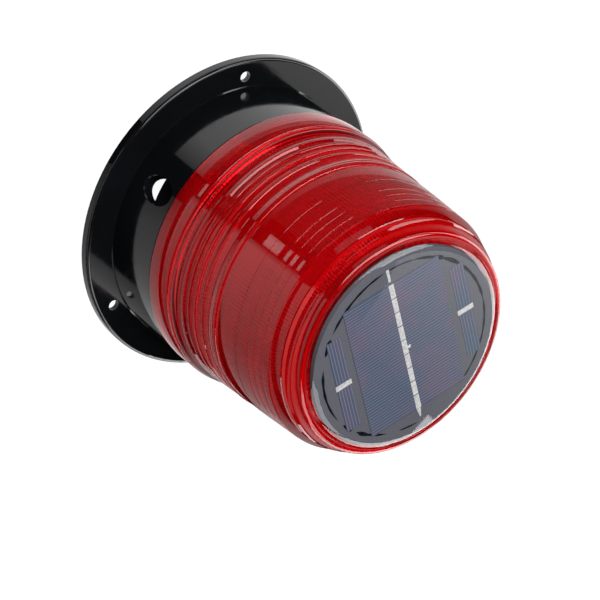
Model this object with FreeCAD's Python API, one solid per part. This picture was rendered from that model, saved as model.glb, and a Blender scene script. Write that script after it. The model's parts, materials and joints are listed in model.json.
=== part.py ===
import FreeCAD, Part
import math
import os

# Solar warning light: a black mounting base, a red lens that screws onto the base's neck,
# and a solar panel potted into the top of the lens. Millimetres, +Z up, origin at the
# centre of the base's mounting plane. The hole in the base's side faces -Y.

os.makedirs("parts", exist_ok=True)

# Mounting base
FLANGE_R = 75.0
FLANGE_T = 5.0
FLANGE_EDGE_R = 1.5
FLANGE_PLATE_T = 2.5
FLANGE_RIM_W = 2.4
SCREW_CIRCLE_R = 67.2
SCREW_HOLE_R = 2.5
SCREW_HOLES = 3
SKIRT_FOOT_R = 62.0
SKIRT_TOP_R = 62.6
SKIRT_TOP_Z = 35.5
BORE_R = 57.0
NECK_R = 59.8
NECK_TOP_Z = 47.5
SIDE_HOLE_W = 11.8
SIDE_HOLE_H = 18.4
SIDE_HOLE_Z = 23.0
SIDE_HOLE_CHAMFER = 0.7
LEDGE_R = 52.5
LEDGE_Z = 42.0
LEDGE_T = 3.0

# Screw thread between neck and lens: crests stop THREAD_GAP short of each other
THREAD_PITCH = 2.4
THREAD_RIDGES = 4
THREAD_FIRST_Z = 38.6
THREAD_H = 0.7
THREAD_W = 1.1
THREAD_GAP = 0.3

# Lens, from the bottom edge up
LENS_FOOT_Z = 35.8
LENS_SKIRT_R = 63.1
LENS_SKIRT_TOP_Z = 49.3
LENS_WALL = 2.4
RIB_ZS = (58.8, 62.6, 67.0, 72.5)
RIB_CREST_R = 60.95
RIB_CREST_STEP = 0.22
RIB_CREST_W = 0.9
RIB_DEPTH = 0.9
BEAD_ZS = (79.7, 81.8)
BEAD_R = 60.0
GROOVE_R = 58.9
BAND_FOOT_Z = 83.5
BAND_R = 59.4
BAND_TOP_Z = 96.7
RING_ZS = (105.1, 109.7, 114.6, 119.0)
SHOULDER_R = 58.2
SHOULDER_FOOT_R = 55.2
SHOULDER_TOP_Z = 127.8
LIP_R = 51.9
LIP_IN_R = 49.3
LIP_Z = 134.8
SEAT_Z = 133.3
ROOF_T = 2.4
LEAD_HOLE_R = 4.0

# Solar panel
PANEL_R = 47.0
PANEL_TURN = 50.6
SEAL_T = 0.8
BOARD_T = 1.6
LAMINATE_T = 2.3
CELL_T = 0.3
RESIN_TOP_Z = 137.3
RESIN_R = 48.2
RESIN_EDGE_W = 3.0
RESIN_EDGE_H = 1.3
CELL_W = 50.0
CELL_L = 70.0
STRIP_W = 7.0
STRIP_L = 49.0
STRIP_OFFSET = 32.4
RIBBON_W = 2.2
RIBBON_T = 0.15
RIBBON_SEGMENTS = 9
RIBBON_BREAK = 0.25
TAB_L = 8.2

# Inner cup, battery and boards
CUP_R = 44.0
CUP_WALL = 2.0
CUP_FOOT_Z = 4.2
CUP_FLOOR_T = 2.5
CUP_FLANGE_R = 56.6
CUP_FLANGE_T = 2.5
CUP_SCREW_R = 54.4
CUP_SCREWS = 4
CUP_SCREW_SHANK_R = 1.3
CUP_SCREW_HEAD_R = 2.4
BOSS_R = 3.0
BOSS_CIRCLE_R = 35.6
CELL_AA_R = 7.2
CELL_AA_L = 50.0
CELL_AA_PITCH = 14.7
TRAY_T = 0.8
CELL_AA_Z = CUP_FOOT_Z + CUP_FLOOR_T + TRAY_T + CELL_AA_R
CONTROL_Z = 30.0
CONTROL_R = 38.5
TOWER_FLANGE_R = 49.0
TOWER_FLANGE_T = 2.0
TOWER_R = 14.0
TOWER_WALL = 2.0
TOWER_TOP_Z = 84.5
TOWER_HOLE_R = 7.6
LED_COUNT = 8
LED_R = 2.5
LED_BOARD_R = 19.0
LED_BOARD_HOLE_R = 4.5
SWITCH_Y = -31.0
SWITCH_THREAD_R = 5.0
BUTTON_R = 3.6
BUTTON_FIT = 0.05
BUTTON_FOOT_Z = 1.0
BUTTON_COLLAR_R = 4.1
BUTTON_COLLAR_T = 1.2
COLLAR_SEAT_Z = CUP_FOOT_Z + 1.0
SPRING_R = 2.6
SPRING_WIRE_W = 0.6
SPRING_L = 4.0
SPRING_TURNS = 3
WIRE_R = 0.7
SOCKET_Y = 22.0
SOCKET_H = 5.0


def vec(x, y, z):
    return FreeCAD.Vector(x, y, z)


def polar(radius, angle_deg, z=0.0):
    angle = math.radians(angle_deg)
    return vec(radius * math.cos(angle), radius * math.sin(angle), z)


def turned(points):
    """A solid of revolution about Z from a closed outline of (radius, z) points. Three
    numbers in a point, (radius, z, bulge), make the run to the next point an arc that
    stands bulge outside the straight line, to the right of the direction of travel."""
    edges = []
    for i, start in enumerate(points):
        end = points[(i + 1) % len(points)]
        a = vec(start[0], 0, start[1])
        b = vec(end[0], 0, end[1])
        if len(start) == 3:
            run = b - a
            side = vec(run.z, 0, -run.x)
            side.normalize()
            middle = (a + b) * 0.5 + side * start[2]
            edges.append(Part.Arc(a, middle, b).toShape())
        else:
            edges.append(Part.LineSegment(a, b).toShape())
    face = Part.Face(Part.Wire(edges))
    return face.revolve(vec(0, 0, 0), vec(0, 0, 1), 360)


def disc(radius, z, height, x=0.0, y=0.0):
    return Part.makeCylinder(radius, height, vec(x, y, z))


def ring(inner, outer, z, height):
    return disc(outer, z, height).cut(disc(inner, z - 1, height + 2))


def block(width, length, height, x, y, z):
    """A box centred on x and y that stands on z."""
    return Part.makeBox(width, length, height, vec(x - width / 2, y - length / 2, z))


def rotated(shape, angle_deg):
    copy = shape.copy()
    copy.rotate(vec(0, 0, 0), vec(0, 0, 1), angle_deg)
    return copy


def pan_screw(radius, head_radius, head_height, length, place):
    """A pan-head screw with its head's underside at place, pointing down."""
    shank = Part.makeCylinder(radius, length, place - vec(0, 0, length))
    head = Part.makeCylinder(head_radius, head_height, place)
    head = head.makeFillet(head_height * 0.45, [head.Edges[0]])
    slot = block(head_radius * 2, head_radius * 0.3, head_height * 0.4,
                 place.x, place.y, place.z + head_height * 0.7)
    return head.cut(slot).fuse(shank).removeSplitter()


def wire_route(points, radius=WIRE_R):
    """A round wire along straight runs joined by tangent arcs."""
    edges = []
    here = points[0]
    for i in range(1, len(points) - 1):
        corner = points[i]
        back = points[i - 1] - corner
        ahead = points[i + 1] - corner
        turn = math.pi - back.getAngle(ahead)
        cut = 0.45 * min(back.Length, ahead.Length)
        back.normalize()
        ahead.normalize()
        start = corner + back * cut
        end = corner + ahead * cut
        bisector = back + ahead
        bisector.normalize()
        arc_radius = cut / math.tan(turn / 2)
        centre = corner + bisector * math.hypot(arc_radius, cut)
        middle = centre - bisector * arc_radius
        edges.append(Part.LineSegment(here, start).toShape())
        edges.append(Part.Arc(start, middle, end).toShape())
        here = end
    edges.append(Part.LineSegment(here, points[-1]).toShape())
    path = Part.Wire(edges)
    run = points[1] - points[0]
    run.normalize()
    section = Part.Wire(Part.makeCircle(radius, points[0], run))
    return path.makePipeShell([section], True, True)


def save(name, shapes):
    """Writes one sub-part; a list of shapes becomes a group of separate solids."""
    shape = shapes
    if isinstance(shapes, list):
        shape = Part.makeCompound(shapes)
    if not shape.isValid():
        raise RuntimeError(name + " is not a valid shape")
    shape.exportStep("parts/" + name + ".step")
    print(name, len(shape.Solids), "solids", round(shape.Volume, 1), "mm3")


def ridges(root_r, crest_r, first_z):
    """Outline points of the thread ridges on a wall, from the bottom up."""
    points = []
    for i in range(THREAD_RIDGES):
        z = first_z + i * THREAD_PITCH
        points.append((root_r, z - THREAD_W / 2))
        points.append((crest_r, z - THREAD_W / 4))
        points.append((crest_r, z + THREAD_W / 4))
        points.append((root_r, z + THREAD_W / 2))
    return points


def standing_ellipse(width, height, z, y):
    """A closed elliptical outline in the XZ plane at y."""
    curve = Part.Ellipse(vec(0, y, z + height / 2), vec(width / 2, y, z), vec(0, y, z))
    return Part.Wire(curve.toShape())


# ---- Mounting base ---------------------------------------------------------------------

def cup_screw_places(z):
    return [polar(CUP_SCREW_R, 45 + i * 360 / CUP_SCREWS, z) for i in range(CUP_SCREWS)]


def base_shell():
    edge = FLANGE_EDGE_R
    arc_bulge = edge * (1 - math.sqrt(0.5))
    outline = [
        (BORE_R, 0),
        (BORE_R + FLANGE_RIM_W, 0),
        (BORE_R + FLANGE_RIM_W, FLANGE_T - FLANGE_PLATE_T),
        (FLANGE_R - FLANGE_RIM_W, FLANGE_T - FLANGE_PLATE_T),
        (FLANGE_R - FLANGE_RIM_W, 0),
        (FLANGE_R - 0.5, 0),
        (FLANGE_R, 0.5),
        (FLANGE_R, FLANGE_T - edge, arc_bulge),
        (FLANGE_R - edge, FLANGE_T),
        (SKIRT_FOOT_R + 0.4, FLANGE_T),
        (SKIRT_FOOT_R, FLANGE_T + 0.4),
        (SKIRT_TOP_R, SKIRT_TOP_Z - 0.4),
        (SKIRT_TOP_R - 0.4, SKIRT_TOP_Z),
        (NECK_R, SKIRT_TOP_Z),
    ]
    outline += ridges(NECK_R, NECK_R + THREAD_H, THREAD_FIRST_Z)
    outline += [
        (NECK_R, NECK_TOP_Z - 0.5),
        (NECK_R - 0.5, NECK_TOP_Z),
        (BORE_R, NECK_TOP_Z),
        (BORE_R, LEDGE_Z),
        (LEDGE_R, LEDGE_Z),
        (LEDGE_R, LEDGE_Z - LEDGE_T),
        (BORE_R, LEDGE_Z - LEDGE_T - 4.0),
    ]
    shell = turned(outline)
    for i in range(SCREW_HOLES):
        at = polar(SCREW_CIRCLE_R, 90 + i * 360 / SCREW_HOLES)
        shell = shell.cut(disc(SCREW_HOLE_R, -1, FLANGE_T + 2, at.x, at.y))
    for at in cup_screw_places(LEDGE_Z):
        shell = shell.cut(disc(CUP_SCREW_SHANK_R, LEDGE_Z - 7.0, 8.0, at.x, at.y))
    mouth = -(SKIRT_FOOT_R + SKIRT_TOP_R) / 2
    straight = Part.Face(standing_ellipse(SIDE_HOLE_W, SIDE_HOLE_H, SIDE_HOLE_Z, mouth - 5))
    shell = shell.cut(straight.extrude(vec(0, 14, 0)))
    flare = 2 * SIDE_HOLE_CHAMFER
    bevel = Part.makeLoft([
        standing_ellipse(SIDE_HOLE_W + 2 * flare, SIDE_HOLE_H + 2 * flare, SIDE_HOLE_Z,
                         mouth - SIDE_HOLE_CHAMFER),
        standing_ellipse(SIDE_HOLE_W, SIDE_HOLE_H, SIDE_HOLE_Z, mouth + SIDE_HOLE_CHAMFER),
    ], True)
    return shell.cut(bevel).removeSplitter()


def inner_cup():
    top = LEDGE_Z + CUP_FLANGE_T
    inside = CUP_R - CUP_WALL
    floor = CUP_FOOT_Z + CUP_FLOOR_T
    cup = turned([
        (0, CUP_FOOT_Z),
        (CUP_R - 1.0, CUP_FOOT_Z, 0.3),
        (CUP_R, CUP_FOOT_Z + 1.0),
        (CUP_R, LEDGE_Z),
        (CUP_FLANGE_R, LEDGE_Z),
        (CUP_FLANGE_R, top),
        (inside, top),
        (inside, floor),
        (0, floor),
    ])
    for angle in (0, 90, 180):
        at = polar(BOSS_CIRCLE_R, angle)
        cup = cup.fuse(disc(BOSS_R, floor, CONTROL_Z - floor, at.x, at.y))
        web = CUP_R - BOSS_CIRCLE_R - 1.0
        rib = Part.makeBox(web, 1.6, CONTROL_Z - floor - 2.0, vec(BOSS_CIRCLE_R, -0.8, floor))
        cup = cup.fuse(rotated(rib, angle))
        cup = cup.cut(disc(1.1, CONTROL_Z - 9.0, 10.0, at.x, at.y))
    cup = cup.cut(disc(SWITCH_THREAD_R + 0.1, CUP_FOOT_Z - 1, CUP_FLOOR_T + 2, 0, SWITCH_Y))
    for at in cup_screw_places(0):
        cup = cup.cut(disc(CUP_SCREW_SHANK_R, LEDGE_Z - 1, CUP_FLANGE_T + 2, at.x, at.y))
    for at in tower_flange_screw_places(0):
        cup = cup.cut(disc(CUP_SCREW_SHANK_R, LEDGE_Z - 1, CUP_FLANGE_T + 2, at.x, at.y))
    return cup.removeSplitter()


def cup_screws():
    top = LEDGE_Z + CUP_FLANGE_T
    return [pan_screw(CUP_SCREW_SHANK_R, CUP_SCREW_HEAD_R, 1.8, 8.0, at)
            for at in cup_screw_places(top)]


# ---- Battery and control board -----------------------------------------------------------

def battery_cells():
    """Three nickel-metal-hydride cells side by side along X, the middle one reversed."""
    cells = []
    nub_l = 1.5
    for i in (-1, 0, 1):
        start = vec(-CELL_AA_L / 2, i * CELL_AA_PITCH, CELL_AA_Z)
        can = Part.makeCylinder(CELL_AA_R, CELL_AA_L - nub_l, start, vec(1, 0, 0))
        nub = Part.makeCylinder(2.7, nub_l, start + vec(CELL_AA_L - nub_l, 0, 0), vec(1, 0, 0))
        cell = can.makeFillet(0.8, [can.Edges[0], can.Edges[2]]).fuse(nub)
        if i == 0:
            cell.rotate(vec(0, 0, CELL_AA_Z), vec(0, 0, 1), 180)
        cells.append(cell)
    return cells


def battery_tray():
    """A tray with end walls, and rails that keep the cells apart."""
    floor = CUP_FOOT_Z + CUP_FLOOR_T
    width = 3 * CELL_AA_PITCH + 1.0
    tray = block(CELL_AA_L + 3.4, width, TRAY_T, 0, 0, floor)
    for side in (-1, 1):
        end = block(1.2, width, 11.0, side * (CELL_AA_L / 2 + 1.1), 0, floor)
        tray = tray.fuse(end)
        for i in (-1, 1):
            rail = block(8.0, 1.0, 2.4, side * 18.0, i * CELL_AA_PITCH / 2, floor)
            tray = tray.fuse(rail)
    return tray.removeSplitter()


def cell_links():
    """Nickel strips that join the cells in series, and a tab at each free end."""
    strip_t = 0.4
    links = []
    for side in (-1, 1):
        x = side * (CELL_AA_L / 2 + strip_t / 2)
        links.append(block(strip_t, CELL_AA_PITCH + 5.0, 5.0, x,
                           side * CELL_AA_PITCH / 2, CELL_AA_Z - 2.5))
        links.append(block(strip_t, 5.0, 9.0, x, -side * CELL_AA_PITCH, CELL_AA_Z - 2.5))
    return links


def foam_pad():
    """Holds the cells down under the control board."""
    low = CELL_AA_Z + CELL_AA_R
    return block(42.0, 38.0, CONTROL_Z - low, 0, 0, low)


def control_board():
    board = disc(CONTROL_R, CONTROL_Z, BOARD_T)
    for angle in (0, 90, 180):
        at = polar(BOSS_CIRCLE_R, angle)
        board = board.cut(disc(1.3, CONTROL_Z - 1, 4, at.x, at.y))
    notch = block(20.0, 14.0, 4, 0, -CONTROL_R - 1.0, CONTROL_Z - 1)
    return board.cut(notch)


def board_screws():
    top = CONTROL_Z + BOARD_T
    return [pan_screw(1.1, 2.2, 1.5, 8.0, polar(BOSS_CIRCLE_R, a, top)) for a in (0, 90, 180)]


def board_parts():
    """Driver chip, coil, capacitors and resistors on the control board."""
    top = CONTROL_Z + BOARD_T
    parts = [
        block(9.8, 6.4, 3.2, -16, 8, top),
        block(6.5, 10.0, 4.2, 15, -10, top),
        disc(4.0, top, 5.0, 14, 10),
        disc(3.2, top, 7.0, -18, -9),
        block(2.5, 1.5, 0.6, -4, 16, top),
        block(2.5, 1.5, 0.6, 2, 16, top),
        block(2.5, 1.5, 0.6, 8, 17, top),
        block(2.5, 1.5, 0.6, -4, -18, top),
    ]
    for i in range(4):
        parts.append(block(1.6, 0.8, 0.5, -27, -6 + 4 * i, top))
    return parts


def lead_socket():
    """The board's socket row that the battery, switch, lamp and panel leads plug into."""
    top = CONTROL_Z + BOARD_T
    return block(12.0, 5.0, SOCKET_H, 0, SOCKET_Y, top)


# ---- Lamp tower ---------------------------------------------------------------------------

def led_tower():
    low = LEDGE_Z + CUP_FLANGE_T
    tower = turned([
        (TOWER_R - TOWER_WALL, low),
        (TOWER_FLANGE_R, low),
        (TOWER_FLANGE_R, low + TOWER_FLANGE_T),
        (TOWER_R + 3.0, low + TOWER_FLANGE_T, -0.85),
        (TOWER_R, low + TOWER_FLANGE_T + 3.0),
        (TOWER_R - 0.6, TOWER_TOP_Z - 5.0),
        (LED_BOARD_R - 1.0, TOWER_TOP_Z - 2.0),
        (LED_BOARD_R - 1.0, TOWER_TOP_Z),
        (TOWER_HOLE_R, TOWER_TOP_Z),
        (TOWER_HOLE_R, TOWER_TOP_Z - 3.0),
        (TOWER_R - TOWER_WALL, TOWER_TOP_Z - 7.0),
    ])
    for at in tower_flange_screw_places(0):
        hole = disc(CUP_SCREW_SHANK_R, low - 1, TOWER_FLANGE_T + 2, at.x, at.y)
        tower = tower.cut(hole)
    for at in tower_top_screw_places(0):
        tower = tower.cut(disc(1.0, TOWER_TOP_Z - 1.9, 3.0, at.x, at.y))
    return tower


def tower_top_screw_places(z):
    return [polar(10.2, 22.5 + i * 180, z) for i in range(2)]


def tower_flange_screw_places(z):
    return [polar(TOWER_FLANGE_R - 4.0, i * 90, z) for i in range(4)]


def tower_screws():
    """Four flange screws that bite in the cup's flange."""
    top = LEDGE_Z + CUP_FLANGE_T + TOWER_FLANGE_T
    length = TOWER_FLANGE_T + CUP_FLANGE_T
    return [pan_screw(CUP_SCREW_SHANK_R, CUP_SCREW_HEAD_R, 1.8, length, at)
            for at in tower_flange_screw_places(top)]


def led_board():
    board = ring(LED_BOARD_HOLE_R, LED_BOARD_R, TOWER_TOP_Z, BOARD_T)
    for at in tower_top_screw_places(0):
        board = board.cut(disc(1.0, TOWER_TOP_Z - 1, 4, at.x, at.y))
    return board


def led_board_screws():
    top = TOWER_TOP_Z + BOARD_T
    return [pan_screw(1.0, 1.9, 1.3, 3.0, at) for at in tower_top_screw_places(top)]


def leds():
    """Lamps lying flat on the board and pointing outwards, each on two bent legs."""
    z = TOWER_TOP_Z + BOARD_T + LED_R + 0.7
    lamps = []
    for i in range(LED_COUNT):
        foot = Part.makeCylinder(LED_R + 0.4, 1.0, vec(13.5, 0, z), vec(1, 0, 0))
        body = Part.makeCylinder(LED_R, 5.2, vec(14.5, 0, z), vec(1, 0, 0))
        dome = Part.makeSphere(LED_R, vec(19.7, 0, z))
        lamp = foot.fuse(body).fuse(dome)
        for y in (-1.27, 1.27):
            run = Part.makeCylinder(0.25, 1.75, vec(11.75, y, z), vec(1, 0, 0))
            drop_z = TOWER_TOP_Z + BOARD_T
            drop = Part.makeCylinder(0.25, z + 0.25 - drop_z, vec(12.0, y, drop_z))
            lamp = lamp.fuse(run).fuse(drop)
        lamps.append(rotated(lamp.removeSplitter(), i * 360 / LED_COUNT))
    return lamps


# ---- Power switch -----------------------------------------------------------------------

def switch_body():
    """A push switch through the cup's floor, with a rim round its button."""
    foot = CUP_FOOT_Z
    top = foot + 12.0
    aperture = BUTTON_R + BUTTON_FIT
    cavity = BUTTON_COLLAR_R + 0.3
    body = turned([
        (aperture, foot - 1.6),
        (6.2, foot - 1.6),
        (6.8, foot - 1.0),
        (6.8, foot),
        (SWITCH_THREAD_R, foot),
        (SWITCH_THREAD_R, top),
        (0, top),
        (0, COLLAR_SEAT_Z + BUTTON_COLLAR_T + SPRING_L),
        (cavity, COLLAR_SEAT_Z + BUTTON_COLLAR_T + SPRING_L),
        (cavity, COLLAR_SEAT_Z),
        (aperture, COLLAR_SEAT_Z),
    ])
    body.translate(vec(0, SWITCH_Y, 0))
    for x in (-2.2, 2.2):
        body = body.fuse(block(0.8, 1.6, 4.0, x, SWITCH_Y, top))
    return body


def switch_nut():
    low = CUP_FOOT_Z + CUP_FLOOR_T
    corners = [polar(7.5, 60 * i) + vec(0, SWITCH_Y, low) for i in range(7)]
    nut = Part.Face(Part.makePolygon(corners)).extrude(vec(0, 0, 2.5))
    return nut.cut(disc(SWITCH_THREAD_R, low - 1, 5, 0, SWITCH_Y))


def switch_button():
    """The domed push button, kept in by the collar at its top end."""
    low = BUTTON_FOOT_Z
    button = turned([
        (0, low),
        (BUTTON_R - 1.0, low, 0.25),
        (BUTTON_R, low + 1.0),
        (BUTTON_R, COLLAR_SEAT_Z),
        (BUTTON_COLLAR_R, COLLAR_SEAT_Z),
        (BUTTON_COLLAR_R, COLLAR_SEAT_Z + BUTTON_COLLAR_T),
        (0, COLLAR_SEAT_Z + BUTTON_COLLAR_T),
    ])
    button.translate(vec(0, SWITCH_Y, 0))
    return button


def switch_spring():
    """The square-wire coil spring between the button's collar and its cavity's top."""
    half = SPRING_WIRE_W / 2
    low = COLLAR_SEAT_Z + BUTTON_COLLAR_T + 1.2 * half
    height = SPRING_L - 2.4 * half
    helix = Part.makeHelix(height / SPRING_TURNS, height, SPRING_R)
    section = Part.makePolygon([
        vec(SPRING_R - half, 0, -half),
        vec(SPRING_R + half, 0, -half),
        vec(SPRING_R + half, 0, half),
        vec(SPRING_R - half, 0, half),
        vec(SPRING_R - half, 0, -half),
    ])
    spring = Part.Wire(helix.Edges).makePipeShell([section], True, True)
    spring.translate(vec(0, SWITCH_Y, low))
    return spring


# ---- Leads --------------------------------------------------------------------------------

def mirrored_pair(points, keep_y=True):
    """Two wires, the second one's route with X (and Y, unless kept) reversed."""
    sign = 1 if keep_y else -1
    other = [vec(-p.x, sign * p.y, p.z) for p in points]
    return [wire_route(points), wire_route(other)]


def panel_leads():
    """From the panel's solder pads down the middle of the tower to the socket row."""
    socket_top = CONTROL_Z + BOARD_T + SOCKET_H
    return mirrored_pair([
        vec(0.9, 0, SEAT_Z + SEAL_T),
        vec(0.9, 0, 119),
        vec(0.9, -1.6, 106),
        vec(0.9, 1.6, 90),
        vec(0.9, 0.2, 76),
        vec(0.9, 2.0, 60),
        vec(0.9, 6.0, 49),
        vec(0.9, 12.0, 42.0),
        vec(0.9, SOCKET_Y, 41.0),
        vec(0.9, SOCKET_Y, socket_top),
    ])


def lamp_leads():
    """From the lamp board down inside the tower's wall to the socket row."""
    socket_top = CONTROL_Z + BOARD_T + SOCKET_H
    return mirrored_pair([
        vec(6.3, 0, TOWER_TOP_Z),
        vec(6.3, 0, 76),
        vec(8.4, 1.0, 62),
        vec(6.0, 3.5, 50),
        vec(5.0, 8.5, 43.0),
        vec(4.4, 15.0, 40.5),
        vec(4.2, SOCKET_Y, 40.0),
        vec(4.2, SOCKET_Y, socket_top),
    ])


def battery_leads():
    """From the free ends of the battery up to the underside of the control board."""
    x = CELL_AA_L / 2 + 0.4 + WIRE_R
    return mirrored_pair([
        vec(-x, CELL_AA_PITCH, CELL_AA_Z + 4.5),
        vec(-x, CELL_AA_PITCH, CELL_AA_Z + 8.5),
        vec(-x - 3.6, CELL_AA_PITCH + 1.0, CELL_AA_Z + 11.2),
        vec(-x - 3.6, CELL_AA_PITCH + 1.0, CONTROL_Z),
    ], False)


def switch_leads():
    """From the switch's pins up to the underside of the control board."""
    pin_top = CUP_FOOT_Z + 16.0
    return mirrored_pair([
        vec(2.2, SWITCH_Y, pin_top),
        vec(2.2, SWITCH_Y, pin_top + 3.2),
        vec(3.4, SWITCH_Y + 3.4, pin_top + 6.0),
        vec(3.4, SWITCH_Y + 3.4, CONTROL_Z),
    ])


# ---- Lens -----------------------------------------------------------------------------------

def lens():
    """The red lens: threaded skirt, ribs, plain band, stepped rings, shoulder and lip."""
    thread_root = NECK_R + THREAD_H + THREAD_GAP + 0.5
    thread_crest = NECK_R + THREAD_H + THREAD_GAP
    outside = [
        (thread_root, LENS_FOOT_Z),
        (LENS_SKIRT_R - 0.5, LENS_FOOT_Z, 0.15),
        (LENS_SKIRT_R, LENS_FOOT_Z + 0.5),
        (LENS_SKIRT_R, LENS_SKIRT_TOP_Z, 0.1),
        (LENS_SKIRT_R - 0.6, LENS_SKIRT_TOP_Z + 0.5, 0.3),
        (LENS_SKIRT_R - 0.9, LENS_SKIRT_TOP_Z + 2.2, 0.4),
        (LENS_SKIRT_R - 1.3, LENS_SKIRT_TOP_Z + 4.8, -0.5),
    ]
    for i, z in enumerate(RIB_ZS):
        crest = RIB_CREST_R - i * RIB_CREST_STEP
        outside.append((crest - 0.1, z - RIB_CREST_W / 2, 0.15))
        outside.append((crest - 0.1, z + RIB_CREST_W / 2, -RIB_DEPTH))
    outside += [
        (BEAD_R, BEAD_ZS[0], 0.1),
        (BEAD_R - 0.1, BEAD_ZS[1]),
        (GROOVE_R, BEAD_ZS[1] + 0.7),
        (GROOVE_R, BAND_FOOT_Z - 0.3),
        (BAND_R - 0.1, BAND_FOOT_Z, 0.12),
        (BAND_R - 0.1, BAND_TOP_Z),
    ]
    step = 0.2
    low = BAND_TOP_Z
    span = RING_ZS[-1] - BAND_TOP_Z
    for top in RING_ZS:
        r_low = BAND_R - 0.1 - (BAND_R - 0.1 - SHOULDER_R) * (low - BAND_TOP_Z) / span
        r_top = BAND_R - 0.1 - (BAND_R - 0.1 - SHOULDER_R) * (top - BAND_TOP_Z) / span
        outside.append((r_low - step, low + 0.1))
        outside.append((r_top, top))
        low = top
    outside += [
        (SHOULDER_R - step, low + 0.1, 0.25),
        (SHOULDER_FOOT_R + 0.4, SHOULDER_TOP_Z - 3.1),
        (SHOULDER_FOOT_R - 0.1, SHOULDER_TOP_Z - 2.9),
        (SHOULDER_FOOT_R - 0.3, SHOULDER_TOP_Z - 0.5),
        (SHOULDER_FOOT_R, SHOULDER_TOP_Z - 0.3),
        (SHOULDER_FOOT_R - 0.3, SHOULDER_TOP_Z, -0.35),
        (LIP_R + 1.5, SHOULDER_TOP_Z + 3.2),
        (LIP_R + 0.6, LIP_Z - 0.9, 0.3),
        (LIP_IN_R + 0.9, LIP_Z, 0.06),
        (LIP_IN_R + 0.2, LIP_Z - 0.2, 0.1),
        (LIP_IN_R, LIP_Z - 0.5),
    ]
    inside = [
        (LIP_IN_R - 0.2, SEAT_Z),
        (LEAD_HOLE_R, SEAT_Z),
        (LEAD_HOLE_R, SEAT_Z - ROOF_T),
        (SHOULDER_FOOT_R - LENS_WALL - 2.5, SEAT_Z - ROOF_T),
        (SHOULDER_FOOT_R - LENS_WALL - 0.6, SHOULDER_TOP_Z - 1.0),
        (SHOULDER_R - LENS_WALL, RING_ZS[-1] - 0.6),
        (GROOVE_R - LENS_WALL, BAND_FOOT_Z),
        (BAND_R - LENS_WALL, LENS_SKIRT_TOP_Z),
        (thread_root, LENS_SKIRT_TOP_Z),
    ]
    inside += reversed(ridges(thread_root, thread_crest, THREAD_FIRST_Z))
    return turned(outside + inside)


def lens_gasket():
    """A flat rubber ring pinched between the neck's rim and the lens's inner step."""
    low = NECK_TOP_Z
    high = LENS_SKIRT_TOP_Z
    return turned([
        (BAND_R - LENS_WALL + 0.4, low + 0.2),
        (BAND_R - LENS_WALL + 0.6, low),
        (NECK_R - 0.7, low),
        (NECK_R + 0.4, low + 0.3),
        (NECK_R + 0.4, high),
        (BAND_R - LENS_WALL + 0.4, high),
    ])


# ---- Solar panel --------------------------------------------------------------------------

def on_panel(shape):
    """Turns a piece laid out with its long ribbon along X to the panel's own direction."""
    return rotated(shape, PANEL_TURN)


def panel_seal():
    return ring(PANEL_R - 5.0, PANEL_R - 0.3, SEAT_Z, SEAL_T)


def panel_board():
    return disc(PANEL_R, SEAT_Z + SEAL_T, LAMINATE_T)


def panel_cell(length, width, y):
    z = SEAT_Z + SEAL_T + LAMINATE_T
    return on_panel(block(length, width, CELL_T, 0, y, z))


def cell_ribbons():
    """The segmented silver ribbon down the middle and the tabs on the two strips."""
    z = SEAT_Z + SEAL_T + LAMINATE_T + CELL_T
    pieces = []
    pitch = CELL_L / RIBBON_SEGMENTS
    for i in range(RIBBON_SEGMENTS):
        x = (i + 0.5) * pitch - CELL_L / 2
        pieces.append(block(pitch - RIBBON_BREAK, RIBBON_W, RIBBON_T, x, 0, z))
    for side, width, length in ((1, 0.9, 5.0), (-1, 1.3, 6.6)):
        x = side * (CELL_L / 2 + length / 2)
        pieces.append(block(length, width, CELL_T + RIBBON_T, x, 0, z - CELL_T))
    for side in (-1, 1):
        pieces.append(block(RIBBON_W, TAB_L, RIBBON_T, 0, side * STRIP_OFFSET, z))
    return [on_panel(piece) for piece in pieces]


def panel_resin(inserts):
    """The clear potting over and round the board, sloped at its edge, with the cells set
    in it."""
    low = SEAT_Z + SEAL_T + LAMINATE_T
    resin = turned([
        (0, low),
        (PANEL_R, low),
        (PANEL_R, SEAT_Z),
        (RESIN_R, SEAT_Z),
        (RESIN_R, RESIN_TOP_Z - RESIN_EDGE_H, 0.12),
        (RESIN_R - RESIN_EDGE_W, RESIN_TOP_Z),
        (0, RESIN_TOP_Z),
    ])
    for piece in inserts:
        resin = resin.cut(piece)
    return resin


def main():
    save("base_shell", base_shell())
    save("inner_cup", inner_cup())
    save("cup_screws", cup_screws())
    save("battery_cells", battery_cells())
    save("battery_tray", battery_tray())
    save("cell_links", cell_links())
    save("foam_pad", foam_pad())
    save("control_board", control_board())
    save("board_screws", board_screws())
    save("board_parts", board_parts())
    save("lead_socket", lead_socket())
    save("led_tower", led_tower())
    save("tower_screws", tower_screws())
    save("led_board", led_board())
    save("led_board_screws", led_board_screws())
    save("leds", leds())
    save("switch_body", switch_body())
    save("switch_nut", switch_nut())
    save("switch_button", switch_button())
    save("switch_spring", switch_spring())
    save("panel_leads", panel_leads())
    save("lamp_leads", lamp_leads())
    save("battery_leads", battery_leads())
    save("switch_leads", switch_leads())
    save("lens", lens())
    save("lens_gasket", lens_gasket())
    save("panel_seal", panel_seal())
    save("panel_board", panel_board())
    centre = panel_cell(CELL_L, CELL_W, 0)
    left = panel_cell(STRIP_L, STRIP_W, STRIP_OFFSET)
    right = panel_cell(STRIP_L, STRIP_W, -STRIP_OFFSET)
    ribbons = cell_ribbons()
    save("centre_cell", centre)
    save("left_cell", left)
    save("right_cell", right)
    save("cell_ribbons", ribbons)
    save("panel_resin", panel_resin([centre, left, right] + ribbons))


main()
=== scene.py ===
import bpy
import json
import math
from mathutils import Matrix, Vector


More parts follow.
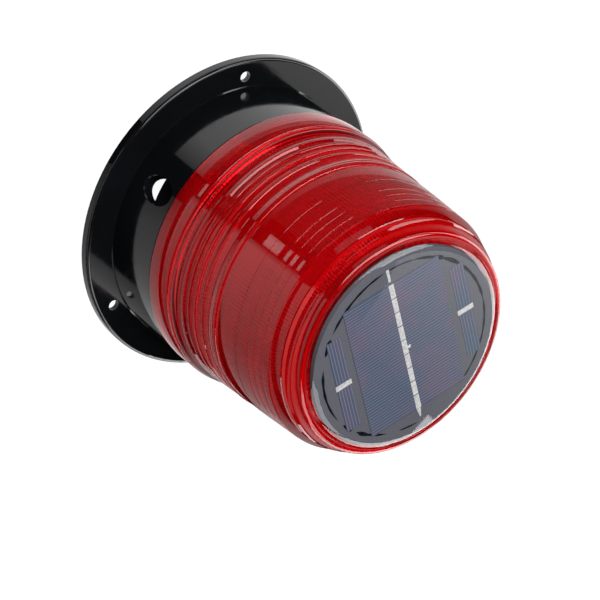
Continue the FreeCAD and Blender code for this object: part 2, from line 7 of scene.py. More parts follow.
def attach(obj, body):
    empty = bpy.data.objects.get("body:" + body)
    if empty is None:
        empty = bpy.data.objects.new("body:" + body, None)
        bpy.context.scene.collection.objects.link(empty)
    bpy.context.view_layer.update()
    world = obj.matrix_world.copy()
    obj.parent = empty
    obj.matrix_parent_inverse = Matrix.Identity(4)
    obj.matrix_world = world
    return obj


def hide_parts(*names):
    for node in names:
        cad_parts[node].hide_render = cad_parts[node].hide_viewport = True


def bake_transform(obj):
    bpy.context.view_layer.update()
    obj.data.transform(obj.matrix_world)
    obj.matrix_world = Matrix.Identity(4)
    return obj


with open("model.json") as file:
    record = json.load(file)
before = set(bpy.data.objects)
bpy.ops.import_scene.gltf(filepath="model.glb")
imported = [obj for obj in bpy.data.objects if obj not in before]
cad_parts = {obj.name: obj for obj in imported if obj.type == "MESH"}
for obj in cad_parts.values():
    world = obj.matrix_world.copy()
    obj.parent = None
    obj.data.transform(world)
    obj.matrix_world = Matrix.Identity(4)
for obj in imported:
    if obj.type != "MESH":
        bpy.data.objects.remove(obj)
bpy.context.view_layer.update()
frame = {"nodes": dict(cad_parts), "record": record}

MM = 0.001

# Camera: the direction it looks from, how far it is rolled, and how far away it stands
CAM_AZIMUTH = -10.83
CAM_ELEVATION = 43.74
CAM_ROLL = -127.8
CAM_DISTANCE = 1.7794
CAM_AIM = (18.0 * MM, 33.2 * MM, 37.1 * MM)
CAM_LENS = 240.0
CAM_SENSOR = 36.0

# Lens, in millimetres: its CAD node's outline, with facets above the ribs, and flutes and a
# stepped grid inside the wall
LENS_FOOT_Z = 35.8
LENS_SKIRT_R = 63.1
LENS_SKIRT_TOP_Z = 49.3
LENS_WALL = 2.4
THREAD_R = 61.3
THREAD_H = 0.5
THREAD_TURNS = 4
THREAD_FIRST_Z = 38.6
THREAD_PITCH = 2.4
THREAD_FOOT_HALF = 0.55
THREAD_CREST_HALF = 0.28
RIB_ZS = (58.8, 62.6, 67.0, 72.5)
RIB_CREST_R = 60.95
RIB_CREST_STEP = 0.22
RIB_CREST_W = 0.9
RIB_DEPTH = 0.9
FACET_DROP = 0.85
FACET_RISE = 0.55
BEAD_ZS = (79.7, 81.8)
BEAD_R = 60.0
GROOVE_R = 58.9
BAND_FOOT_Z = 83.5
BAND_R = 59.4
BAND_FACE_R = BAND_R - 0.1
BAND_TOP_Z = 96.7
RING_ZS = (105.1, 109.7, 114.6, 119.0)
RING_STEP = 0.12
SHOULDER_R = 58.2
SHOULDER_FOOT_R = 55.2
SHOULDER_TOP_Z = 127.8
LIP_R = 51.9
LIP_IN_R = 49.3
LIP_Z = 134.8
SEAT_Z = 133.3
ROOF_T = 2.4
LEAD_HOLE_R = 4.0
FLUTES = 210
STEPS_PER_FLUTE = 4
FLUTE_DEPTH = 0.25
FLUTES_END_Z = 55.0
WAIST_Z = 70.0
GRID_PITCH = 1.9
GRID_DEPTH = 0.3
GRID_LEAN = 2.2

# Solar panel, in millimetres
PANEL_TURN = math.radians(50.6)
PANEL_R = 47.0
RESIN_R = 48.2
BOARD_TOP_Z = 136.4
RESIN_TOP_Z = 137.3
RESIN_EDGE_W = 3.0
RESIN_EDGE_H = 1.3
RESIN_CENTRE_R = 0.05
CELL_T = 0.3
CELL_L = 70.0
STRIP_OFFSET = 32.4
RIBBON_W = 2.5
RIBBON_T = 0.2
RIBBON_SEGMENTS = 9
RIBBON_BREAK = 0.55
RIBBON_WOBBLE = 0.12
FAR_TAIL_L = 4.8
FAR_TAIL_WS = (RIBBON_W - 0.2, 0.5)
NEAR_TAIL_GAP = 1.2
NEAR_TAIL_END = 7.6
NEAR_TAIL_WS = (1.4, 1.1)
TAIL_DROP = 0.25
TAB_W = 8.2
BLOB_PLACE = (0.9, 2.1)
BLOB_R = 0.8
SEALANT_R = 42.0
SEALANT_T = 0.02
SEALANT_LIFT = 0.005
SEALANT_STEP_DEG = 1.5
SKIN_GAP = 0.02

# Shares of a piece's own size: each rib's facet next to the first one, the long face of a
# grid row, the upright part and the bevel of a ribbon bar, and the solder and sealant lumps
FACET_SIZES = (1.0, 0.45, 0.45, 0.45)
GRID_FACE = 0.85
BAR_FOOT = 0.6
BAR_BEVEL = 0.12
BLOB_HEIGHT = 0.3
BLOB_LUMPS = 0.2
SEALANT_LUMPS = 0.2

# Switch spring and panel leads, in millimetres
SPRING_TURNS = 3
SPRING_STEPS_PER_TURN = 24
SPRING_WIRE_R = 0.27
LEAD_R = 0.7

# Studio, in millimetres
FLOOR_Z = -0.4
FLOOR_CARD_Z = -0.2
FLOOR_R = 2200.0
DOME_R = 5000.0
DOME_HALF_H = 2500.0
CARD_CENTRE_Z = 70

# The sockets of a Mix node that carry colours
MIX_COLOUR_A = 6
MIX_COLOUR_B = 7
MIX_COLOUR_OUT = 2


# ---- Mesh helpers -------------------------------------------------------------------------

def mesh_piece(name, verts, faces, material, smooth=True):
    """A mesh object in metres from vertices in millimetres."""
    mesh = bpy.data.meshes.new(name)
    mesh.from_pydata([Vector(v) * MM for v in verts], [], faces)
    mesh.validate()
    mesh.update()
    for polygon in mesh.polygons:
        polygon.use_smooth = smooth
    mesh.materials.append(material)
    piece = bpy.data.objects.new(name, mesh)
    bpy.context.collection.objects.link(piece)
    return piece


def with_arcs(outline, arc_steps=6):
    """The outline with each bulging run cut into short ones. A point is (radius, z) or
    (radius, z, bulge), the bulge being to the right of the direction of travel."""
    points = []
    for i, start in enumerate(outline):
        points.append((start[0], start[1]))
        if len(start) < 3:
            continue
        end = outline[(i + 1) % len(outline)]
        run_r = end[0] - start[0]
        run_z = end[1] - start[1]
        length = math.hypot(run_r, run_z)
        for k in range(1, arc_steps):
            t = k / arc_steps
            out = 4 * t * (1 - t) * start[2] / length
            points.append((start[0] + run_r * t + run_z * out,
                           start[1] + run_z * t - run_r * out))
    return points


def revolved(name, outline, steps, material, radius_change=None):
    """A closed ring of revolution about Z. radius_change(i, j) is how far point i of the
    outline moves out at step j round the ring."""
    verts = []
    for j in range(steps):
        angle = 2 * math.pi * j / steps
        c = math.cos(angle)
        s = math.sin(angle)
        for i, (r, z) in enumerate(outline):
            if radius_change:
                r += radius_change(i, j)
            verts.append((r * c, r * s, z))
    n = len(outline)
    faces = []
    for j in range(steps):
        a = j * n
        b = ((j + 1) % steps) * n
        for i in range(n):
            k = (i + 1) % n
            faces.append((a + i, b + i, b + k, a + k))
    return mesh_piece(name, verts, faces, material)


def sharpen(piece, angle_deg):
    """Edges sharper than the angle shade as corners, the rest smooth."""
    bpy.context.view_layer.objects.active = piece
    piece.select_set(True)
    bpy.ops.object.shade_smooth_by_angle(angle=math.radians(angle_deg))
    piece.select_set(False)


def on_panel(x, y, z):
    """A point laid out with the long ribbon along X, turned to the panel's direction."""
    c = math.cos(PANEL_TURN)
    s = math.sin(PANEL_TURN)
    return (x * c - y * s, x * s + y * c, z)


# ---- Materials ------------------------------------------------------------------------------

class Nodes:
    """A material's node tree, with short calls to add and join nodes."""

    def __init__(self, name):
        self.material = bpy.data.materials.new(name)
        self.material.use_nodes = True
        self.tree = self.material.node_tree
        self.shader = self.tree.nodes["Principled BSDF"]
        self.output = self.tree.nodes["Material Output"]
        self.coordinates = self.tree.nodes.new("ShaderNodeTexCoord")

    def add(self, kind, **settings):
        """A new node, with its own settings such as operation."""
        node = self.tree.nodes.new("ShaderNode" + kind)
        for key, value in settings.items():
            setattr(node, key, value)
        return node

    def join(self, source, target):
        self.tree.links.new(source, target)

    def set(self, **values):
        """Fixed values for the shader's sockets, with _ for each space in a name."""
        for key, value in values.items():
            self.shader.inputs[key.replace("_", " ")].default_value = value

    def noise(self, scale, detail=3.0, roughness=0.5):
        """Noise whose features are about 1/scale metres across."""
        node = self.add("TexNoise")
        node.inputs["Scale"].default_value = scale
        node.inputs["Detail"].default_value = detail
        node.inputs["Roughness"].default_value = roughness
        self.join(self.coordinates.outputs["Object"], node.inputs["Vector"])
        return node.outputs["Fac"]

    def spread(self, value, low, high, from_low=0.3, from_high=0.7):
        """The value, mapped from from_low..from_high to low..high."""
        node = self.add("MapRange")
        node.inputs["From Min"].default_value = from_low
        node.inputs["From Max"].default_value = from_high
        node.inputs["To Min"].default_value = low
        node.inputs["To Max"].default_value = high
        self.join(value, node.inputs["Value"])
        return node.outputs["Result"]

    def colours(self, value, *stops):
        """A colour ramp; each stop is (position, (r, g, b))."""
        node = self.add("ValToRGB")
        ramp = node.color_ramp
        while len(ramp.elements) < len(stops):
            ramp.elements.new(0.5)
        for element, (position, colour) in zip(ramp.elements, stops):
            element.position = position
            element.color = (*colour, 1)
        self.join(value, node.inputs["Fac"])
        return node.outputs["Color"]

    def math(self, operation, a, b=0.0):
        """An arithmetic node; a and b are sockets or numbers."""
        node = self.add("Math", operation=operation)
        for socket, value in ((node.inputs[0], a), (node.inputs[1], b)):
            if isinstance(value, (int, float)):
                socket.default_value = value
            else:
                self.join(value, socket)
        return node.outputs[0]

    def bump(self, height, strength, distance):
        """Fine relief from the height, the distance being its depth in metres."""
        node = self.add("Bump")
        node.inputs["Strength"].default_value = strength
        node.inputs["Distance"].default_value = distance
        self.join(height, node.inputs["Height"])
        self.join(node.outputs["Normal"], self.shader.inputs["Normal"])


def shade(colour, factor):
    """The colour made lighter or darker."""
    return tuple(c * factor for c in colour)


def moulded(name, colour, roughness, grain=900.0, grain_depth=0.00001):
    """Moulded plastic: slight mottling, orange peel, and gloss that varies a little."""
    n = Nodes(name)
    mottle = n.noise(60.0)
    tint = n.colours(mottle, (0.3, shade(colour, 0.85)), (0.7, shade(colour, 1.15)))
    n.join(tint, n.shader.inputs["Base Color"])
    gloss = n.spread(n.noise(150.0), roughness * 0.8, roughness * 1.25)
    n.join(gloss, n.shader.inputs["Roughness"])
    n.bump(n.noise(grain), 0.2, grain_depth)
    return n.material


def metal(name, colour, roughness, scratch=1500.0):
    """Metal with fine scratches and patchy polish."""
    n = Nodes(name)
    n.set(Metallic=1.0)
    patch = n.noise(400.0)
    tint = n.colours(patch, (0.3, shade(colour, 0.8)), (0.7, colour))
    n.join(tint, n.shader.inputs["Base Color"])
    gloss = n.spread(n.noise(scratch, 5.0), roughness * 0.7, roughness * 1.4)
    n.join(gloss, n.shader.inputs["Roughness"])
    n.bump(n.noise(scratch), 0.25, 0.00002)
    return n.material


def sealant_black():
    """Black sealant under the resin."""
    n = Nodes("sealant")
    tint = n.colours(n.noise(500.0), (0.3, (0.004, 0.005, 0.008)), (0.7, (0.012, 0.014, 0.02)))
    n.join(tint, n.shader.inputs["Base Color"])
    n.set(Roughness=0.6)
    n.set(Specular_IOR_Level=0.0)
    return n.material


def tinned():
    """Dull tinned ribbon: bright, slightly uneven and scratched."""
    n = Nodes("tinned_ribbon")
    patch = n.noise(900.0, 4.0)
    tint = n.colours(patch, (0.3, (0.4, 0.39, 0.38)), (0.6, (0.62, 0.6, 0.58)))
    n.join(tint, n.shader.inputs["Base Color"])
    n.set(Metallic=0.25)
    n.join(n.spread(n.noise(1500.0, 5.0), 0.3, 0.5), n.shader.inputs["Roughness"])
    n.bump(patch, 0.35, 0.00004)
    return n.material


def glossy_black():
    """Black moulded plastic with faint flow marks and a high gloss that varies a little."""
    n = Nodes("glossy_black_plastic")
    flow = n.noise(25.0, 2.0)
    tint = n.colours(flow, (0.3, (0.0025, 0.003, 0.0035)), (0.75, (0.004, 0.0045, 0.0055)))
    n.join(tint, n.shader.inputs["Base Color"])
    gloss = n.spread(n.noise(220.0, 4.0), 0.07, 0.13)
    n.join(gloss, n.shader.inputs["Roughness"])
    n.bump(n.noise(70.0, 2.0), 0.12, 0.00004)
    return n.material


def red_lens():
    """Clear red plastic."""
    n = Nodes("red_lens_plastic")
    tone = n.noise(18.0, 2.0)
    tint = n.colours(tone, (0.3, (0.68, 0.003, 0.006)), (0.7, (0.8, 0.005, 0.01)))
    n.join(tint, n.shader.inputs["Base Color"])
    n.set(IOR=1.49)
    n.shader.inputs["Transmission Weight"].default_value = 0.85
    gloss = n.spread(n.noise(200.0, 3.0), 0.02, 0.05)
    n.join(gloss, n.shader.inputs["Roughness"])
    return n.material


def along_panel(n):
    """Object coordinates turned so that X runs along the panel's long ribbon."""
    turn = n.add("Mapping", vector_type="POINT")
    turn.inputs["Rotation"].default_value = (0, 0, -PANEL_TURN)
    n.join(n.coordinates.outputs["Object"], turn.inputs["Vector"])
    split = n.add("SeparateXYZ")
    n.join(turn.outputs["Vector"], split.inputs["Vector"])
    return split


def silicon(name, along, pitch_mm, line_mm):
    """A solar cell: dark blue silicon crossed by fine silver fingers."""
    n = Nodes(name)
    split = along_panel(n)
    place = n.math("DIVIDE", split.outputs["X" if along else "Y"], pitch_mm * MM)
    cycle = n.math("FRACT", place)
    from_line = n.math("ABSOLUTE", n.math("SUBTRACT", cycle, 0.5))
    edge = line_mm / pitch_mm / 2
    finger = n.spread(from_line, 1.0, 0.0, edge * 0.6, edge * 1.4)
    patch = n.noise(70.0, 3.0)
    body = n.colours(patch, (0.25, (0.065, 0.095, 0.135)), (0.5, (0.085, 0.092, 0.135)),
                     (0.75, (0.125, 0.09, 0.135)))
    mix = n.add("Mix", data_type="RGBA")
    n.join(finger, mix.inputs["Factor"])
    n.join(body, mix.inputs[MIX_COLOUR_A])
    mix.inputs[MIX_COLOUR_B].default_value = (0.19, 0.2, 0.26, 1)
    n.join(mix.outputs[MIX_COLOUR_OUT], n.shader.inputs["Base Color"])
    n.set(Roughness=0.5)
    n.set(Specular_IOR_Level=0.0)
    return n.material


def panel_grey():
    """The dark grey face of the panel's laminate, with fine speckle."""
    n = Nodes("panel_grey")
    speckle = n.noise(1800.0, 4.0)
    tint = n.colours(speckle, (0.35, (0.125, 0.125, 0.14)), (0.65, (0.145, 0.14, 0.155)))
    n.join(tint, n.shader.inputs["Base Color"])
    n.set(Roughness=0.5)
    n.set(Specular_IOR_Level=0.0)
    return n.material


def clear_resin():
    """Clear potting: the light goes straight through, the gloss comes by Fresnel."""
    n = Nodes("clear_resin")
    tree = n.tree
    tree.nodes.remove(n.shader)
    through = n.add("BsdfTransparent")
    through.inputs["Color"].default_value = (0.93, 0.94, 0.95, 1)
    gloss = n.add("BsdfGlossy")
    ripple = n.add("Bump")
    ripple.inputs["Strength"].default_value = 0.1
    ripple.inputs["Distance"].default_value = 0.00005
    n.join(n.noise(60.0), ripple.inputs["Height"])
    n.join(ripple.outputs["Normal"], gloss.inputs["Normal"])
    n.join(n.spread(n.noise(150.0), 0.02, 0.07), gloss.inputs["Roughness"])
    fresnel = n.add("Fresnel")
    fresnel.inputs["IOR"].default_value = 1.5
    facing = n.math("SUBTRACT", 1.0, n.add("NewGeometry").outputs["Backfacing"])
    mix = n.add("MixShader")
    n.join(n.math("MULTIPLY", fresnel.outputs[0], facing), mix.inputs[0])
    n.join(through.outputs[0], mix.inputs[1])
    n.join(gloss.outputs[0], mix.inputs[2])
    n.join(mix.outputs[0], n.output.inputs["Surface"])
    return n.material


def floor_white():
    """The pale studio floor: bright, with only a trace of shadow."""
    n = Nodes("floor_white")
    n.set(Roughness=0.9)
    n.shader.inputs["Base Color"].default_value = (0.1, 0.1, 0.1, 1)
    n.shader.inputs["Emission Color"].default_value = (1, 1, 1, 1)
    n.shader.inputs["Emission Strength"].default_value = 0.95
    return n.material


# ---- Pieces ---------------------------------------------------------------------------------

def cone_r(z):
    """Radius of the lens's wall between the plain band and the shoulder."""
    share = (z - BAND_TOP_Z) / (RING_ZS[-1] - BAND_TOP_Z)
    return BAND_FACE_R - (BAND_FACE_R - SHOULDER_R) * share


def lens_outside():
    """From the foot up: skirt, ribs, bead, band, stepped rings, shoulder, lip and roof."""
    points = [
        (THREAD_R, LENS_FOOT_Z),
        (LENS_SKIRT_R - 0.5, LENS_FOOT_Z, 0.15),
        (LENS_SKIRT_R, LENS_FOOT_Z + 0.5),
        (LENS_SKIRT_R, LENS_SKIRT_TOP_Z, 0.1),
        (LENS_SKIRT_R - 0.6, LENS_SKIRT_TOP_Z + 0.5, 0.3),
        (LENS_SKIRT_R - 0.9, LENS_SKIRT_TOP_Z + 2.2, 0.4),
        (LENS_SKIRT_R - 1.3, LENS_SKIRT_TOP_Z + 4.8, -0.5),
    ]
    for i, (z, facet) in enumerate(zip(RIB_ZS, FACET_SIZES)):
        crest = RIB_CREST_R - i * RIB_CREST_STEP - 0.1
        top = z + RIB_CREST_W / 2
        points.append((crest, z - RIB_CREST_W / 2, 0.1))
        points.append((crest, top))
        points.append((crest - FACET_DROP * facet, top + FACET_RISE * facet,
                       FACET_DROP * facet / 2 - RIB_DEPTH))
    points += [
        (BEAD_R, BEAD_ZS[0], 0.1),
        (BEAD_R - 0.1, BEAD_ZS[1], -0.25),
        (GROOVE_R, BEAD_ZS[1] + 0.7),
        (GROOVE_R, BAND_FOOT_Z - 0.3),
        (BAND_FACE_R, BAND_FOOT_Z, 0.12),
        (BAND_FACE_R, BAND_TOP_Z),
    ]
    for low, top in zip((BAND_TOP_Z,) + RING_ZS, RING_ZS):
        points.append((cone_r(low) - RING_STEP, low + 0.1, 0.08))
        points.append((cone_r(top), top))
    points += [
        (SHOULDER_R - RING_STEP, RING_ZS[-1] + 0.1, 0.25),
        (SHOULDER_FOOT_R + 0.4, SHOULDER_TOP_Z - 3.1),
        (SHOULDER_FOOT_R - 0.1, SHOULDER_TOP_Z - 2.9),
        (SHOULDER_FOOT_R - 0.3, SHOULDER_TOP_Z - 0.5),
        (SHOULDER_FOOT_R, SHOULDER_TOP_Z - 0.3),
        (SHOULDER_FOOT_R - 0.3, SHOULDER_TOP_Z, -0.35),
        (LIP_R + 1.5, SHOULDER_TOP_Z + 3.2),
        (LIP_R + 0.6, LIP_Z - 0.9, 0.3),
        (LIP_IN_R + 0.9, LIP_Z, 0.06),
        (LIP_IN_R + 0.2, LIP_Z - 0.2, 0.1),
        (LIP_IN_R, LIP_Z - 0.5),
        (LIP_IN_R - 0.2, SEAT_Z),
        (LEAD_HOLE_R, SEAT_Z),
        (LEAD_HOLE_R, SEAT_Z - ROOF_T),
    ]
    return points


def lens_inside():
    """From the roof down: a fine stepped grid, then a plain wall. The grid's rows lean in
    towards the top, and each has a long face and a short step back."""
    points = [
        (SHOULDER_FOOT_R - LENS_WALL - 2.5, SEAT_Z - ROOF_T),
        (SHOULDER_FOOT_R - LENS_WALL - 0.6, SHOULDER_TOP_Z - 1.0),
    ]
    top = SHOULDER_TOP_Z - 3.0
    rows = int((top - BAND_TOP_Z) / GRID_PITCH)
    for k in range(rows):
        z = top - k * GRID_PITCH
        share = (z - BAND_TOP_Z) / (top - BAND_TOP_Z)
        r = BAND_R - LENS_WALL - GRID_LEAN * share * share
        points.append((r, z))
        points.append((r + GRID_DEPTH, z - GRID_PITCH * GRID_FACE))
    points += [
        (BAND_R - LENS_WALL, BAND_TOP_Z),
        (GROOVE_R - LENS_WALL, BAND_FOOT_Z),
        (BAND_R - LENS_WALL, WAIST_Z),
        (BAND_R - LENS_WALL, FLUTES_END_Z),
        (BAND_R - LENS_WALL, LENS_SKIRT_TOP_Z),
    ]
    return points


def lens_thread():
    """The ridges inside the skirt, from the top one down."""
    points = [(THREAD_R, LENS_SKIRT_TOP_Z)]
    crest = THREAD_R - THREAD_H
    for i in reversed(range(THREAD_TURNS)):
        z = THREAD_FIRST_Z + THREAD_PITCH * i
        points.append((THREAD_R, z + THREAD_FOOT_HALF))
        points.append((crest, z + THREAD_CREST_HALF))
        points.append((crest, z - THREAD_CREST_HALF))
        points.append((THREAD_R, z - THREAD_FOOT_HALF))
    return points


def lens_piece():
    """The red lens, with flutes all round the inside of its wall, from just under the roof
    down to FLUTES_END_Z."""
    outside = with_arcs(lens_outside())
    inside = lens_inside()
    first = len(outside) + 1
    last = len(outside) + len(inside) - 2

    def fluting(i, j):
        """The flute's depth at step j, as a move inwards, for the points of the wall."""
        if i < first or i > last:
            return 0.0
        phase = (j % STEPS_PER_FLUTE) / STEPS_PER_FLUTE
        return -FLUTE_DEPTH * math.sin(math.pi * phase) ** 2

    steps = FLUTES * STEPS_PER_FLUTE
    outline = outside + inside + lens_thread()
    piece = revolved("lens_shell", outline, steps, red_lens(), fluting)
    sharpen(piece, angle_deg=35)
    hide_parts("lens")
    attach(piece, "head")


def resin_piece():
    """The clear potting over the panel, wrapped down to its seat in the lens."""
    bottom = BOARD_TOP_Z + SKIN_GAP
    outline = with_arcs([
        (RESIN_CENTRE_R, bottom),
        (PANEL_R + SKIN_GAP, bottom),
        (PANEL_R + SKIN_GAP, SEAT_Z + SKIN_GAP),
        (RESIN_R, SEAT_Z + SKIN_GAP),
        (RESIN_R, RESIN_TOP_Z - RESIN_EDGE_H, 0.12),
        (RESIN_R - RESIN_EDGE_W, RESIN_TOP_Z),
        (RESIN_CENTRE_R, RESIN_TOP_Z),
    ])
    piece = revolved("potting", outline, steps=360, material=clear_resin())
    sharpen(piece, angle_deg=30)
    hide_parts("panel_resin")
    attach(piece, "head")


def flat_bar(x0, x1, w0, w1, y, z, height):
    """Vertices and faces of a low bar along the panel's X, tapering from w0 to w1. It is
    upright for BAR_FOOT of its height and bevelled above by BAR_BEVEL of its width."""
    bevel = min(w0, w1) * BAR_BEVEL
    verts = []
    for level, inset in ((z, 0.0), (z + height * BAR_FOOT, 0.0), (z + height, bevel)):
        verts.append(on_panel(x0 + inset, y - w0 / 2 + inset, level))
        verts.append(on_panel(x1 - inset, y - w1 / 2 + inset, level))
        verts.append(on_panel(x1 - inset, y + w1 / 2 - inset, level))
        verts.append(on_panel(x0 + inset, y + w0 / 2 - inset, level))
    faces = [(3, 2, 1, 0), (8, 9, 10, 11)]
    for ring in (0, 4):
        for k in range(4):
            m = (k + 1) % 4
            faces.append((ring + k, ring + m, ring + 4 + m, ring + 4 + k))
    return verts, faces


def solder_blob(x, y, z, radius):
    """A low lumpy dome of solder beside the ribbon; its height and lumps are shares of its
    radius."""
    rings = 3
    sides = 12
    top = radius * BLOB_HEIGHT
    verts = [on_panel(x, y, z + top)]
    for i in range(1, rings + 1):
        t = i / rings
        for k in range(sides):
            a = 2 * math.pi * k / sides
            r = radius * t * (1 + BLOB_LUMPS * math.sin(3 * a + 1))
            height = top * (1 - t * t)
            verts.append(on_panel(x + r * math.cos(a), y + r * math.sin(a), z + height))
    faces = [(0, 1 + k, 1 + (k + 1) % sides) for k in range(sides)]
    for i in range(rings - 1):
        a = 1 + i * sides
        for k in range(sides):
            m = (k + 1) % sides
            faces.append((a + k, a + sides + k, a + sides + m, a + m))
    last = 1 + (rings - 1) * sides
    faces.append(tuple(last + k for k in reversed(range(sides))))
    return verts, faces


def ribbon_piece():
    """Silver ribbon in short segments, its two tails, and the tabs on the strip cells."""
    z = BOARD_TOP_Z + CELL_T
    pitch = CELL_L / RIBBON_SEGMENTS
    bars = []
    for i in range(RIBBON_SEGMENTS):
        x = i * pitch - CELL_L / 2
        wobble = RIBBON_WOBBLE * math.sin(5.0 * i)
        bars.append(flat_bar(x + RIBBON_BREAK / 2, x + pitch - RIBBON_BREAK / 2,
                             RIBBON_W, RIBBON_W + wobble, 0, z, RIBBON_T))
    half = CELL_L / 2
    tail_z = z - TAIL_DROP
    bars.append(flat_bar(half, half + FAR_TAIL_L, *FAR_TAIL_WS, 0, tail_z, RIBBON_T))
    bars.append(flat_bar(-half - NEAR_TAIL_END, -half - NEAR_TAIL_GAP, *NEAR_TAIL_WS, 0,
                         tail_z, RIBBON_T))
    for side in (-1, 1):
        bars.append(flat_bar(-RIBBON_W / 2, RIBBON_W / 2, TAB_W, TAB_W,
                             side * STRIP_OFFSET, z, RIBBON_T))
    bars.append(solder_blob(*BLOB_PLACE, z, BLOB_R))
    verts = []
    faces = []
    for bar_verts, bar_faces in bars:
        start = len(verts)
        verts += bar_verts
        faces += [tuple(start + k for k in face) for face in bar_faces]
    piece = mesh_piece("ribbon", verts, faces, tinned(), smooth=False)
    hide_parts("cell_ribbons")
    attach(piece, "head")


def round_curve(name, radius):
    """An empty curve that is as thick as a round wire."""
    curve = bpy.data.curves.new(name, "CURVE")
    curve.dimensions = "3D"
    curve.bevel_depth = radius
    curve.use_fill_caps = True
    return curve


def from_curve(name, curve, material):
    """A mesh object made from a bevelled curve."""
    line = bpy.data.objects.new(name + "_line", curve)
    bpy.context.collection.objects.link(line)
    bpy.context.view_layer.update()
    mesh = bpy.data.meshes.new_from_object(line)
    bpy.data.objects.remove(line)
    mesh.materials.clear()
    mesh.materials.append(material)
    piece = bpy.data.objects.new(name, mesh)
    bpy.context.collection.objects.link(piece)
    return piece


def spring_piece():
    """The switch's spring: a fixed coil of round wire that fills the CAD spring's bounds."""
    node = frame["nodes"]["switch_spring"]
    corners = [node.matrix_world @ Vector(corner) for corner in node.bound_box]
    low = Vector([min(corner[i] for corner in corners) for i in range(3)])
    high = Vector([max(corner[i] for corner in corners) for i in range(3)])
    axis = (low + high) / 2
    wire_r = SPRING_WIRE_R * MM
    coil_r = (high.x - low.x) / 2 - wire_r
    steps = SPRING_TURNS * SPRING_STEPS_PER_TURN
    curve = round_curve("spring_route", wire_r)
    spline = curve.splines.new("POLY")
    spline.points.add(steps)
    for k, point in enumerate(spline.points):
        angle = 2 * math.pi * k * SPRING_TURNS / steps
        z = low.z + wire_r + (high.z - low.z - 2 * wire_r) * k / steps
        x = axis.x + coil_r * math.cos(angle)
        y = axis.y + coil_r * math.sin(angle)
        point.co = (x, y, z, 1)
    piece = from_curve("spring_coil", curve, metal("spring_steel", (0.62, 0.62, 0.6), 0.3))
    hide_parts("switch_spring")
    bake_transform(piece)


def panel_leads_piece():
    """The panel's two leads, one fixed pair running from under the panel down the tower."""
    route = (
        (0.9, 0, 134.1), (0.9, 0, 119), (0.9, -1.6, 106), (0.9, 1.6, 90), (0.9, 0.2, 76),
        (0.9, 2.0, 60), (0.9, 6.0, 49), (0.9, 12.0, 42), (0.9, 22, 41), (0.9, 22, 36.6),
    )
    curve = round_curve("lead_route", LEAD_R * MM)
    for side in (-1, 1):
        spline = curve.splines.new("NURBS")
        spline.points.add(len(route) - 1)
        for point, (x, y, z) in zip(spline.points, route):
            point.co = (side * x * MM, y * MM, z * MM, 1)
        spline.order_u = 3
        spline.use_endpoint_u = True
    piece = from_curve("lead_pair", curve, moulded("lead_jacket", (0.35, 0.012, 0.012), 0.35))
    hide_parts("panel_leads")
    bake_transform(piece)


def dark_ring_piece():
    """The broken dark line of sealant round the board, thicker in places. An arc is its
    start and end in degrees and its width at each, tapered to a point at both ends."""
    arcs = (
        (3, 16, 0.5, 0.9), (24.5, 49, 0.5, 2.0), (53, 61.5, 2.0, 1.3),
        (67.5, 108, 0.7, 1.5), (117, 128, 1.9, 2.2), (131.5, 178, 1.4, 0.9),
        (180, 198, 0.6, 0.7), (198, 222, 0.7, 2.2), (221, 236, 2.2, 1.3),
        (235, 270, 1.3, 1.2), (269, 328, 1.2, 0.7),
    )
    z = BOARD_TOP_Z + SEALANT_LIFT
    end_share = 0.15
    taper_rate = 6
    lump_count = 31
    verts = []
    faces = []
    for start, end, width_start, width_end in arcs:
        steps = int((end - start) / SEALANT_STEP_DEG) + 4
        for k in range(steps + 1):
            t = k / steps
            angle = -math.radians(start + (end - start) * t)
            width = width_start + (width_end - width_start) * t
            width *= min(1.0, end_share + taper_rate * min(t, 1 - t))
            width *= 1 + SEALANT_LUMPS * math.sin(lump_count * angle)
            for r in (SEALANT_R - width / 2, SEALANT_R + width / 2):
                x = r * math.cos(angle)
                y = r * math.sin(angle)
                verts.append(on_panel(x, y, z))
                verts.append(on_panel(x, y, z + SEALANT_T))
            if k:
                a = len(verts) - 8
                b = len(verts) - 4
                faces.append((a + 1, b + 1, b + 3, a + 3))
                faces.append((a, a + 2, b + 2, b))
                faces.append((a, b, b + 1, a + 1))
                faces.append((a + 2, a + 3, b + 3, b + 2))
    piece = mesh_piece("sealant_ring", verts, faces, sealant_black(), smooth=False)
    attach(piece, "head")


def studio():
    """A pale floor that sweeps up into a dome far outside the object."""
    hole_r = 0.1
    outline = [(hole_r, FLOOR_Z), (FLOOR_R, FLOOR_Z)]
    arc_steps = 24
    for k in range(1, arc_steps + 1):
        angle = -math.pi / 2 + math.pi * k / arc_steps
        r = FLOOR_R + (DOME_R - FLOOR_R) * math.cos(angle)
        z = FLOOR_Z + DOME_HALF_H * (1 + math.sin(angle))
        if k > arc_steps / 2:
            r = DOME_R * math.cos(angle) + hole_r
        outline.append((r, z))
    verts = []
    faces = []
    steps = 64
    for j in range(steps):
        angle = 2 * math.pi * j / steps
        for r, z in outline:
            verts.append((r * math.cos(angle), r * math.sin(angle), z))
    n = len(outline)
    for j in range(steps):
        a = j * n
        b = ((j + 1) % steps) * n
        for i in range(n - 1):
            faces.append((a + i, a + i + 1, b + i + 1, b + i))
    floor = mesh_piece("studio_floor", verts, faces, floor_white())
    floor.visible_glossy = False
    floor.visible_diffuse = False


def card_white():
    """White card whose glow at each point is the mesh's "glow" value."""
    n = Nodes("card_white")
    tint = n.colours(n.noise(4.0), (0.3, (0.96, 0.96, 0.97)), (0.7, (1.0, 0.99, 0.98)))
    glow = n.add("Attribute", attribute_name="glow")
    n.shader.inputs["Base Color"].default_value = (0, 0, 0, 1)
    n.join(tint, n.shader.inputs["Emission Color"])
    n.join(glow.outputs["Fac"], n.shader.inputs["Emission Strength"])
    return n.material


